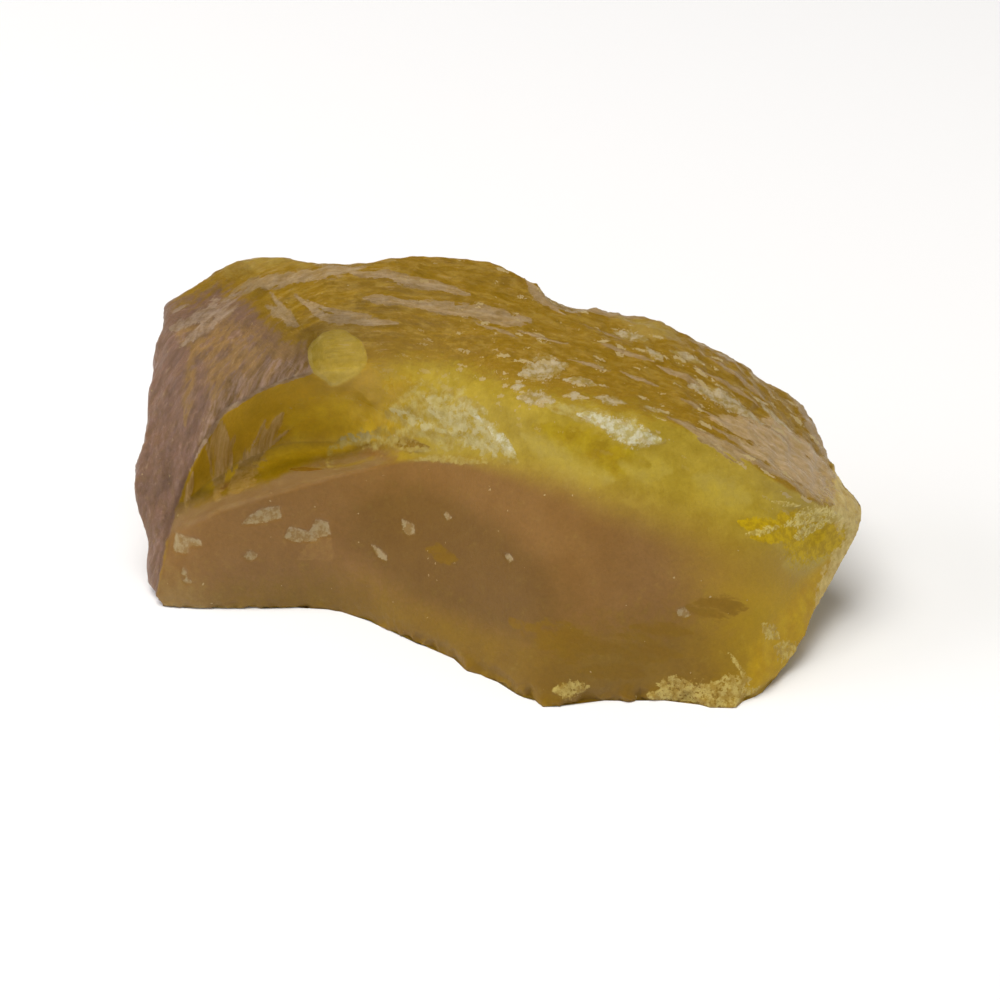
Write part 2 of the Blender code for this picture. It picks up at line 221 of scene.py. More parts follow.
def strokes(plane, paths):
    """How near each point is to these paths in a plane: 1 in the middle of a path and 0.5 at its edge.

    A path is its width and its points, and tapers towards both of its ends.
    """
    nearest = np.zeros(len(points))
    spots = points[:, plane]
    for width, *path in paths:
        for step, (start, end) in enumerate(zip(path, path[1:])):
            start, end = np.array(start), np.array(end)
            run = end - start
            share = np.clip(((spots - start) @ run) / (run @ run), 0, 1)
            distance = np.linalg.norm(spots - start - share[:, None] * run, axis=1)
            taper = 0.2 + 0.8 * np.sin(np.pi * (step + share) / (len(path) - 1))
            nearest = np.maximum(nearest, 1 - distance / (width * taper))
    return np.clip(nearest, 0, 1)


PLAN = [0, 1]
FRONT_VIEW = [0, 2]

# On the top, seen from above as (along, across): flakes, pale frosted patches and the yellow west crown.
MARKS_ON_TOP = {
    "flakes": [
        (0.9, (2.8, 10.4), (4.2, 9.4), (5.8, 8.7)),
        (1.0, (5.0, 9.0), (9.7, 9.6), (14.0, 9.6)),
        (0.35, (-1.6, 6.6), (2.2, 4.9)),
        (0.35, (-0.6, 6.8), (1.6, 5.9)),
        (0.35, (4.4, 9.4), (6.6, 8.0)),
        (0.7, (14.6, 3.0), (19.0, 1.4)),
        (1.0, (15.4, -3.4), (20.1, -5.0), (27.6, -6.6)),
        (0.6, (19.0, -3.2), (24.0, -4.9), (29.4, -5.4)),
        (1.6, (27.6, 7.2), (30.8, 1.6)),
        (0.5, (16.6, -0.8), (21.4, -2.4)),
        (0.5, (9.6, 4.8), (14.4, 3.2)),
        (0.6, (19.6, 5.6), (25.0, 3.8)),
        (0.4, (6.6, 2.6), (10.6, 1.4)),
        (0.5, (17.5, 3.6), (24.0, 2.2)),
        (0.4, (2.0, 5.6), (7.0, 4.4)),
        (0.4, (8.0, 7.2), (12.0, 6.0)),
        (0.4, (11.0, 1.6), (15.0, 0.4)),
    ],
    "east flake": [
        (5.0, (19.5, -2.2), (26.5, -1.9), (33.5, -2.4)),
        (3.0, (24.4, 1.0), (31.5, 0.2)),
        (3.4, (22.0, -4.2), (27.5, -4.6), (32.5, -3.4)),
    ],
    "frost": [
        (2.4, (2.4, 1.3), (6.4, 1.9)),
        (1.3, (2.2, -0.8), (5.4, -2.0)),
        (1.1, (9.0, -1.7), (11.7, -2.4)),
        (0.7, (0.0, -0.6), (1.0, -0.9)),
        (0.6, (1.6, 0.3), (2.8, 0.0)),
        (0.8, (6.4, -1.4), (8.0, -1.8)),
        (0.7, (13.2, -2.4), (15.0, -2.9)),
        (2.0, (17.6, 1.3), (24.2, 0.2)),
        (1.3, (11.0, 7.0), (14.0, 6.2)),
        (0.9, (13.8, 4.9), (15.2, 3.5)),
        (0.9, (16.0, 5.0), (19.0, 4.5)),
        (0.9, (6.2, 0.3), (9.2, -0.3)),
        (0.9, (24.0, 2.8), (27.0, 1.6)),
    ],
    "crown": [
        (4.8, (-31.5, 13.2), (-21.0, 14.8), (-12.0, 12.8)),
        (3.4, (11.5, 9.2), (16.8, 7.2)),
    ],
}
# On the steep brow of the top, above the hollow, seen from the front as (along, height).
MARKS_ON_BROW = {
    "flakes": [
        (1.7, (-29.2, 22.2), (-25.4, 24.4), (-22.0, 26.6)),
        (0.7, (-28.8, 23.4), (-27.0, 24.6), (-25.0, 25.6)),
        (0.8, (-25.2, 24.8), (-21.0, 26.6), (-15.8, 27.6), (-11.6, 28.5)),
        (0.7, (-13.0, 28.0), (-9.8, 28.0), (-4.8, 27.1), (-2.0, 26.6)),
        (0.9, (-18.0, 26.3), (-14.8, 24.7), (-12.1, 24.5), (-8.6, 24.3)),
        (0.4, (-17.0, 26.1), (-13.8, 25.2), (-11.0, 25.0)),
        (1.3, (-20.6, 25.3), (-17.7, 24.3)),
        (0.4, (-20.4, 26.2), (-17.8, 24.5)),
        (1.0, (-9.2, 26.1), (-4.8, 25.8), (-1.2, 25.6), (3.4, 24.9)),
        (0.8, (-11.8, 26.4), (-8.0, 26.1)),
    ],
    "crown": [(1.8, (-30.4, 24.0), (-27.8, 25.0))],
}
# On the floor of the hollow, seen from above too. Where the floor meets the wall it is painted lighter:
# painted light against the shade that falls there.
MARKS_ON_FLOOR = {
    "painted-light crease": [(2.4, (-27.5, 4.0), (-23.1, 5.9), (-19.4, 7.4), (-15.0, 7.7), (-11.5, 6.4))],
    "ledge": [
        (4.8, (-37.0, 1.0), (-30.0, 0.8), (-24.1, 0.2), (-17.6, 0.6), (-8.0, 0.8)),
        (6.2, (-20.0, 2.4), (-7.0, 2.8)),
    ],
    "lens": [(1.0, (-18.8, 4.4), (-15.6, 3.4))],
}
# In the hollow and on the bevel, seen from the front as (along, height).
MARKS_ABOVE_RIM = {
    "hollow flakes": [
        (1.6, (-25.6, 17.4), (-25.0, 13.0), (-25.6, 8.0)),
        (0.35, (-26.4, 15.6), (-26.1, 11.0)),
        (0.35, (-24.6, 14.6), (-24.2, 9.4)),
        (1.5, (-24.6, 8.6), (-21.8, 11.4), (-19.4, 15.4)),
        (0.35, (-21.8, 10.8), (-18.4, 13.6)),
        (0.35, (-22.4, 11.8), (-20.8, 15.2)),
        (0.6, (-27.6, 11.2), (-28.4, 7.4)),
    ],
    "cloud": [
        (5.0, (-13.4, 17.0), (-8.0, 17.4), (-4.6, 19.4)),
        (3.6, (-13.6, 15.0), (-8.0, 15.4)),
        (2.6, (3.6, 19.8), (8.4, 18.9), (13.6, 18.0)),
    ],
    "crust": [
        (1.3, (-15.4, 11.2), (-10.5, 13.8), (-6.0, 16.4)),
        (4.4, (-9.6, 16.4), (-4.5, 18.0), (-0.4, 17.6)),
        (1.6, (-5.6, 19.2), (-0.6, 19.6)),
        (2.4, (-3.4, 18.4), (2.0, 16.7)),
        (0.45, (-7.6, 13.5), (-0.4, 15.7)),
        (0.35, (-9.0, 13.8), (-3.4, 15.6)),
        (1.0, (4.6, 21.4), (9.4, 21.0), (12.8, 20.4)),
        (1.5, (9.4, 20.8), (15.0, 19.5)),
    ],
    "white crust": [
        (2.8, (-5.6, 18.3), (-2.0, 18.0), (1.4, 17.2)),
        (1.6, (-2.0, 17.8), (1.8, 16.9)),
        (0.9, (-9.8, 16.9), (-4.2, 16.7)),
        (0.8, (-14.2, 12.3), (-10.4, 13.8)),
        (0.9, (-6.4, 19.0), (-2.8, 18.9)),
    ],
    "white lens": [
        (0.8, (7.4, 21.1), (12.4, 20.5)),
        (0.8, (-0.4, 18.4), (0.8, 17.9), (2.0, 17.1)),
        (0.4, (-2.2, 19.4), (-1.0, 18.6)),
        (1.4, (9.4, 20.7), (14.6, 19.6)),
    ],
    "brown lens": [(1.1, (-9.6, 14.2), (-5.8, 15.0))],
    "haze": [
        (2.0, (2.6, 18.8), (6.4, 17.6), (10.4, 17.2)),
        (2.0, (17.6, 16.8), (22.6, 14.8)),
        (1.4, (11.0, 18.2), (15.6, 17.4)),
        (2.2, (25.6, 9.8), (29.0, 8.6), (32.0, 7.4)),
    ],
    "pocket": [
        (4.6, (25.4, 13.2), (28.5, 10.8), (31.6, 8.2)),
        (1.0, (21.4, 13.8), (26.4, 12.2)),
        (0.6, (22.4, 12.8), (26.6, 11.4)),
    ],
    "pocket crust": [
        (1.7, (25.8, 12.6), (28.4, 12.6), (31.2, 11.0)),
        (0.9, (26.4, 11.4), (29.4, 10.8)),
        (0.4, (24.4, 14.6), (27.4, 13.8)),
        (0.4, (22.0, 13.0), (25.4, 12.6)),
    ],
    "pale edge": [
        (3.4, (30.4, 12.4), (34.6, 9.4)),
        (2.6, (28.8, 3.6), (31.0, 6.2), (33.0, 9.4)),
    ],
}
# On the tall front face, seen from the front as (along, height). Along the thin eastern edge is a painted
# glow, light coming through the stone, over its own gold.
MARKS_ON_FRONT = {
    "east edge glow": [
        (4.4, (22.4, 1.0), (25.2, 3.4), (27.6, 6.4)),
        (4.4, (26.6, 3.0), (30.2, 7.4)),
    ],
    "foot crust": [
        (1.8, (13.6, 0.5), (18.1, 0.8), (23.4, 0.8)),
        (1.2, (14.4, 1.4), (17.4, 1.6)),
        (1.3, (18.6, 1.5), (22.6, 1.9)),
        (1.2, (5.2, 1.3), (8.4, 1.5)),
        (0.9, (23.6, 6.0), (25.2, 3.8)),
        (1.3, (24.8, 3.4), (27.0, 1.6)),
        (0.35, (20.5, 4.3), (22.0, 2.4)),
        (0.4, (21.2, 3.6), (22.5, 1.4)),
    ],
    "chips": [
        (0.9, (-22.8, 5.3), (-21.6, 5.4)),
        (0.5, (-28.5, 3.8), (-28.2, 3.1)),
        (0.5, (-28.5, 2.7), (-27.7, 2.7)),
        (0.5, (-4.5, 10.8), (-3.8, 10.8)),
        (0.5, (1.0, 10.0), (1.8, 10.0)),
        (0.8, (16.0, 7.7), (17.2, 7.3)),
    ],
    "olive": [
        (1.6, (16.8, 8.0), (22.4, 7.6)),
        (1.2, (12.0, 6.4), (17.4, 5.8)),
        (2.2, (8.4, 5.6), (12.6, 4.6), (16.4, 3.9)),
        (2.4, (1.6, 5.4), (5.4, 5.4), (10.4, 4.4)),
        (1.4, (7.4, 2.9), (14.4, 2.5)),
        (1.1, (-6.0, 7.9), (-3.2, 8.1)),
    ],
}
# On the fluted west end, seen from the front.
MARKS_ON_WEST = {
    "west flakes": [
        (1.4, (-29.6, 22.6), (-25.4, 24.6), (-21.0, 26.8)),
        (0.7, (-28.8, 21.4), (-25.6, 23.6), (-23.0, 25.0)),
        (0.8, (-29.8, 23.8), (-27.4, 25.0)),
    ],
    "olive shade": [
        (5.6, (-28.6, 22.4), (-22.0, 21.8), (-14.0, 22.6)),
        (3.6, (-22.0, 20.0), (-18.4, 20.8), (-14.8, 21.2)),
        (3.0, (-25.2, 21.6), (-24.6, 16.4)),
        (1.2, (-27.4, 22.0), (-28.2, 15.0)),
    ],
}
# The floor of the hollow faces up, behind the rim and below the lip. Its wall stands behind it. The marks on
# the top reach a little below the lip.
behind_rim = np.maximum(past(height - rim_height + 0.5, 0.4), past(across - 3.6, 0.8))
below_lip = np.maximum(past(lip_height - 1.5 - height, 1.0), past(-26.5 - along, 0.8))
floor = eased((facing[:, 2] - 0.15) / 0.4) * behind_rim * below_lip * past(HOLLOW_END - along, 2.5)
on_wall = np.maximum(past(across - 2.0, 0.7), past(along - HOLLOW_END, 1.0))
near_top = past(height - lip_height + 1.5, 1.0)
zones["gold"] = floor
for marks, plane, where in (
    (MARKS_ON_TOP, PLAN, near_top * (1 - zones["west"]) * (1 - zones["back"])),
    (MARKS_ON_BROW, FRONT_VIEW, zones["top"] * (1 - zones["west"]) * before),
    (MARKS_ON_FLOOR, PLAN, floor),
    (MARKS_ABOVE_RIM, FRONT_VIEW, before * (1 - zones["west"]) * on_wall),
    (MARKS_ON_FRONT, FRONT_VIEW, forwards),
    (MARKS_ON_WEST, FRONT_VIEW, zones["west"]),
):
    for name, paths in marks.items():
        zones[name] = np.maximum(zones.get(name, 0), strokes(plane, paths) * where)

# Small flat chips in the front face, as corners (along, height) that run anticlockwise.
PALE_CHIPS = [
    [(-29.4, 5.0), (-28.0, 5.1), (-27.8, 6.5), (-29.3, 6.4)],
    [(-28.0, 5.8), (-26.7, 6.0), (-26.8, 6.5), (-28.0, 6.5)],
    [(-23.0, 8.1), (-21.1, 8.2), (-19.3, 8.6), (-19.5, 9.6), (-21.1, 9.5), (-22.4, 8.8)],
    [(-18.0, 6.5), (-16.2, 6.6), (-16.0, 7.2), (-17.2, 7.5), (-18.6, 7.9), (-19.1, 6.9)],
    [(-16.0, 6.9), (-14.8, 7.2), (-15.1, 8.3), (-16.2, 8.5), (-16.7, 7.5)],
    [(-10.5, 6.1), (-9.7, 5.9), (-9.6, 6.4), (-10.3, 6.8), (-11.2, 7.0)],
    [(-8.1, 8.6), (-7.7, 8.4), (-7.1, 8.7), (-7.2, 9.3), (-8.4, 9.4)],
]
BROWN_CHIP = [(-14.7, 4.9), (-14.6, 5.4), (-14.8, 7.0), (-16.6, 6.7), (-17.6, 5.6), (-18.0, 4.9)]


def inside(corners):
    """How far inside these corners each point is, seen from the front."""
    spots, corners = points[:, FRONT_VIEW], np.array(corners)
    sides = np.roll(corners, -1, axis=0) - corners
    return np.min([(spots - c) @ (-s[1], s[0]) / np.hypot(*s) for c, s in zip(corners, sides)], axis=0)


CHIP_SOFTNESS = 0.2
for corners in PALE_CHIPS:
    zones["chips"] = np.maximum(zones["chips"], past(inside(corners), CHIP_SOFTNESS) * zones["front"])
zones["brown chip"] = past(inside(BROWN_CHIP), CHIP_SOFTNESS) * zones["front"]

# A round chip is struck out of the lip. Its edge, as (angle in degrees, distance from its middle).
CHIP_MIDDLE = (-14.1, 21.3)
CHIP_EDGE = np.array([
    (-180, 2.7), (-150, 2.5), (-125, 2.4), (-104, 2.95), (-85, 2.5), (-60, 2.2), (-30, 2.35), (0, 2.65),
    (30, 2.5), (60, 2.2), (85, 2.4), (110, 2.35), (140, 2.45), (165, 2.8), (180, 2.7),
])
chip_along, chip_height = along - CHIP_MIDDLE[0], height - CHIP_MIDDLE[1]
chip_edge = np.interp(np.degrees(np.arctan2(chip_height, chip_along)), *CHIP_EDGE.T)
within_chip = chip_edge - np.hypot(chip_along, chip_height)
zones["round chip"] = past(within_chip, 0.5) * eased(-facing[:, 1] / 0.3)
west_half = past(CHIP_MIDDLE[0] - along, 1.5) * before
zones["chip rim"] = np.clip(1 - np.abs(within_chip - 0.15) / 0.35, 0, 1) * west_half
# The foot of the round chip, in the shade under the lip, is painted lighter: painted light.
zones["chip foot painted light"] = zones["round chip"] * past(lip_height - 0.4 - height, 0.6)


def oval(middle, reach):
    """1 well inside this oval and 0 outside it, seen from the front."""
    return eased(1.5 - np.hypot(*((points[:, FRONT_VIEW] - middle) / reach).T))


# The front has painted shade in its middle, where it bends in as a valley, and turns to gold low down and at
# its east end. Low at its west corner, where the stone thins, it has a painted glow.
zones["valley painted shade"] = oval((-3.5, 8.0), (10.0, 4.2)) * zones["front"]
zones["front low"] = past(4.6 - height + 0.12 * (along + 5), 4.0) * zones["front"]
zones["front east"] = past(along - 20.2 - 0.35 * (7.0 - height), 6.0) * zones["front"]
zones["west foot glow"] = past(-26.0 - along, 4.0) * past(3.0 - height, 3.0) * zones["front"]
# A pool of light is painted on the wall of the hollow, brightest where it faces the light.
on_wall_only = before * (1 - zones["front"]) * (1 - zones["west"]) * (1 - floor)
zones["hollow light"] = oval((-14.5, 13.0), (5.0, 4.0)) * on_wall_only
zones["floor flakes"] = zones["hollow flakes"] * floor
zones["east flake"] *= zones["top"]
# A painted highlight runs as a pale line along the lip over the hollow, and the flutes fray out above it.
over_hollow = past(-15.5 - along, 1.0) * past(along + 28.0, 1.0) * before
zones["lip highlight"] = np.clip(1 - np.abs(height - lip_height) / 0.5, 0, 1) * over_hollow
zones["fringe"] = zones["west"] * past(2.2 - (height - lip_height), 1.6) * past(along + 27, 1.0)
# These are held near a half, so that noise breaks them up into grains and streaks.
BROKEN_UP = 0.62
STREAKED = 0.45
for name in ("crust", "white crust", "pocket crust", "foot crust", "olive"):
    zones[name] = np.minimum(zones[name], BROKEN_UP)
zones["top streaks"] = zones["top"] * (1 - zones["west"]) * STREAKED
zones["west streaks"] = zones["west"] * STREAKED
zones["flecked"] = past(height - lip_height + 1.6, 1.5) * (1 - zones["west"]) * eased((along + 16) / 20)
# The break is drawn out into long splinters in the west, and is short and broken in the east.
drawn = np.interp(along, [-4, 12], [1.0, 0.3])
broken = np.interp(along, [-4, 12], [0.2, 1.0])
zones["splintery"] = np.maximum(zones["top"] * drawn, zones["west"])

# ---------------------------------------------------------------------------------------------------------
# Relief too fine for the solid. As topaz splits, it leaves terraces and splinters on the top, flutes on the
# west end, crystals in the crust, slight waves on the smooth front, and a foot that is bitten in steps.
# ---------------------------------------------------------------------------------------------------------

# The break's grain bends as it runs. On the top, (along, how far across it has moved, how high it has moved).
# On the west face, (height, how far along it has moved).
TOP_GRAIN = np.array([
    (-33, -3.6, 19.5), (-29, -2.6, 21.5), (-21, -0.6, 26.0), (-15, 0.9, 27.0), (-9, 0.6, 27.4),
    (3.3, -0.3, 25.5), (17, -3.0, 22.3), (28.8, -5.6, 14.7), (33, -6.4, 11.0),
])
WEST_GRAIN = np.array([(0, -0.8), (6, -0.5), (12, 0.2), (16, 1.0), (20, 2.6), (24, 5.4), (27, 9.4)])
DRAWN_OUT = 0.13
WEST_DRAWN_OUT = 0.08
# The stepped edge of the foot, as (along, how far back it is broken away).
FOOT_NOTCHES = np.array([
    (-9.5, 0.0), (-7.0, 0.1), (-4.6, 0.4), (-3.4, 0.4), (-2.4, -0.6), (-1.2, 0.0), (0.9, 0.3), (2.6, 0.0),
    (3.3, 0.6), (4.3, -0.4), (5.8, -0.2), (7.3, 0.0), (7.8, 0.4), (11.0, -0.1), (11.5, -0.6), (12.4, -0.6),
    (12.8, 0.0), (13.8, -0.3), (17.0, 0.2), (18.0, -0.1), (21.2, -0.3), (22.0, 0.6), (24.0, 0.0),
])

across_moved = np.interp(along, TOP_GRAIN[:, 0], TOP_GRAIN[:, 1])
height_moved = np.interp(along, TOP_GRAIN[:, 0], TOP_GRAIN[:, 2])
along_moved = np.interp(height, *WEST_GRAIN.T)
runs = {
    "top run": np.stack([along * DRAWN_OUT, across - across_moved, height - height_moved], 1),
    "west run": np.stack([along - along_moved, across, height * WEST_DRAWN_OUT], 1),
}


def grain(spots, width, seed):
    """Noise in grains this wide: from -1 to 1 or so."""
    return np.array([noise.noise(spot) for spot in spots / width + seed])


def terraced(amount, steps):
    """The same noise in flat steps with quick ramps between them."""
    scaled = amount * steps
    level = np.floor(scaled)
    return (level + eased((scaled - level - 0.72) / 0.28)) / steps


on_top = zones["top"] * eased((facing[:, 2] - 0.25) / 0.3) * (1 - zones["back"]) * (1 - zones["west"])
# Each line is one kind of relief: where it is, how high it stands in millimetres, and the grain it follows.
relief = on_top * drawn * 0.36 * terraced(grain(runs["top run"], 1.6, 3.1), 4)
relief += on_top * broken * 0.24 * terraced(grain(points * (0.6, 1, 1), 1.1, 37.0), 3)
relief += on_top * drawn * 0.12 * grain(runs["top run"], 0.55, 7.7)
relief += on_top * broken * 0.08 * grain(points, 0.5, 43.0)
relief += np.maximum(zones["top"], zones["back"]) * (1 - zones["west"]) * 0.10 * grain(points, 1.1, 23.0)
relief += eased(3 * np.maximum(zones["flakes"], zones["east flake"]) - 1) * on_top * 0.10
relief += zones["west"] * 0.40 * terraced(grain(runs["west run"], 1.2, 5.3), 4)
relief += zones["west"] * 0.15 * grain(runs["west run"], 0.5, 9.3)
relief += eased(3 * zones["hollow flakes"] - 1) * 0.08
crusted = np.maximum.reduce([zones[name] for name in ("crust", "frost", "pocket crust", "foot crust")])
relief += eased(2.5 * crusted - 0.7) * (0.05 + 0.16 * grain(points, 0.9, 29.0))
relief -= past(zones["chips"] - 0.5, 0.1) * 0.10
relief -= past(zones["round chip"] - 0.5, 0.2) * 0.10
relief += zones["cloud"] * 0.25 * grain(points, 1.4, 31.0)
upright = eased((0.3 - facing[:, 2]) / 0.2)
relief += zones["front"] * upright * 0.05 * grain(points, 2.4, 11.0)
relief += zones["back"] * 0.26 * terraced(grain(points * (0.4, 1, 1), 2.4, 13.0), 3)
relief += zones["back"] * 0.08 * grain(points, 0.7, 41.0)
relief -= eased((1.8 - height) / 1.8) * before * 0.5 * np.abs(grain(points, 1.2, 17.0))
# The underside stays flat. The foot is notched along the front, and its west corner is knocked off.
relief[facing[:, 2] < -0.7] = 0
NOTCH_HEIGHT = 1.6
KNOCKED_OFF = 0.75
KNOCK_HEIGHT = 1.1
points += facing * relief[:, None]
notched = np.interp(along, *FOOT_NOTCHES.T) * past(-4.0 - across, 4.0)
points[:, 1] += eased((NOTCH_HEIGHT - height) / NOTCH_HEIGHT) * notched
points[:, 0] += eased((KNOCK_HEIGHT - height) / KNOCK_HEIGHT) * past(-30.0 - along, 0.8) * KNOCKED_OFF
points[:, 2] = np.maximum(points[:, 2], 0)
stone.data.vertices.foreach_set("co", (points * MM).ravel())
stone.data.update()

for name, amounts in zones.items():
    stone.data.attributes.new(name, "FLOAT", "POINT").data.foreach_set("value", amounts)
for name, run in runs.items():
    stone.data.attributes.new(name, "FLOAT_VECTOR", "POINT").data.foreach_set("vector", run.ravel())

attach(stone, "root")
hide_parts("topaz")

# ---------------------------------------------------------------------------------------------------------
# The stone's finish. It is bare topaz, never cut or polished: waxy where the break ran clean, and clouded
# from within by fine healed cracks. Its old faces are stained brown, with a painted mauve sheen over the
# front and the west end; fresh ones are yellow, and their glow, where light comes through, is painted into
# their colour; crushed spots are pale.
# ---------------------------------------------------------------------------------------------------------


def colour(hex_code):
    """An sRGB hex colour as linear red, green, blue and alpha."""
    parts = [int(hex_code[i : i + 2], 16) / 255 for i in (1, 3, 5)]
    linear = [c / 12.92 if c <= 0.04045 else ((c + 0.055) / 1.055) ** 2.4 for c in parts]
    return (*linear, 1.0)


def add(tree, kind, sockets, **settings):
    """Adds a node with its settings. A socket is given a value, or another node's output to link to."""
    node = tree.nodes.new(kind)
    for setting, value in settings.items():
        setattr(node, setting, value)
    for socket, value in sockets.items():
        if isinstance(value, bpy.types.NodeSocket):
            tree.links.new(value, node.inputs[socket])
        else:
            node.inputs[socket].default_value = value
    return node


# Broken cloudy topaz. The break gives a soft, broken shine with no clear reflection in it. The haze under the
# skin scatters a little light, and lets red and yellow come back from deeper than blue.
topaz = bpy.data.materials.new("broken cloudy topaz")
topaz.use_nodes = True
tree = topaz.node_tree
surface = tree.nodes["Principled BSDF"]

place = add(tree, "ShaderNodeTexCoord", {}).outputs["Object"]
in_mm = add(tree, "ShaderNodeMapping", {"Vector": place, "Scale": (1000, 1000, 1000)}).outputs[0]
along_top = add(tree, "ShaderNodeAttribute", {}, attribute_name="top run").outputs["Vector"]
down_west = add(tree, "ShaderNodeAttribute", {}, attribute_name="west run").outputs["Vector"]
short_run = add(tree, "ShaderNodeMapping", {"Vector": along_top, "Scale": (2.6, 1, 1)}).outputs[0]
down_east = add(
    tree, "ShaderNodeMapping", {"Vector": in_mm, "Rotation": (0, math.radians(18), 0), "Scale": (3, 1, 1)},
    vector_type="TEXTURE",
).outputs[0]
# The grains that a worn edge can follow, each with how wide its teeth are in millimetres.
RUNS = {
    "even": (in_mm, 0.77), "fine": (in_mm, 0.286), "short": (short_run, 0.5), "west": (down_west, 0.5),
    "drift": (down_east, 1.0),
}
frays = {}
for name, (run, tooth) in RUNS.items():
    cloud = add(
        tree, "ShaderNodeTexNoise", {"Vector": run, "Scale": 1 / tooth, "Detail": 5, "Roughness": 0.66}
    )
    frays[name] = add(
        tree, "ShaderNodeMapRange", {"Value": cloud.outputs["Fac"], "From Min": 0.30, "From Max": 0.70}
    ).outputs[0]

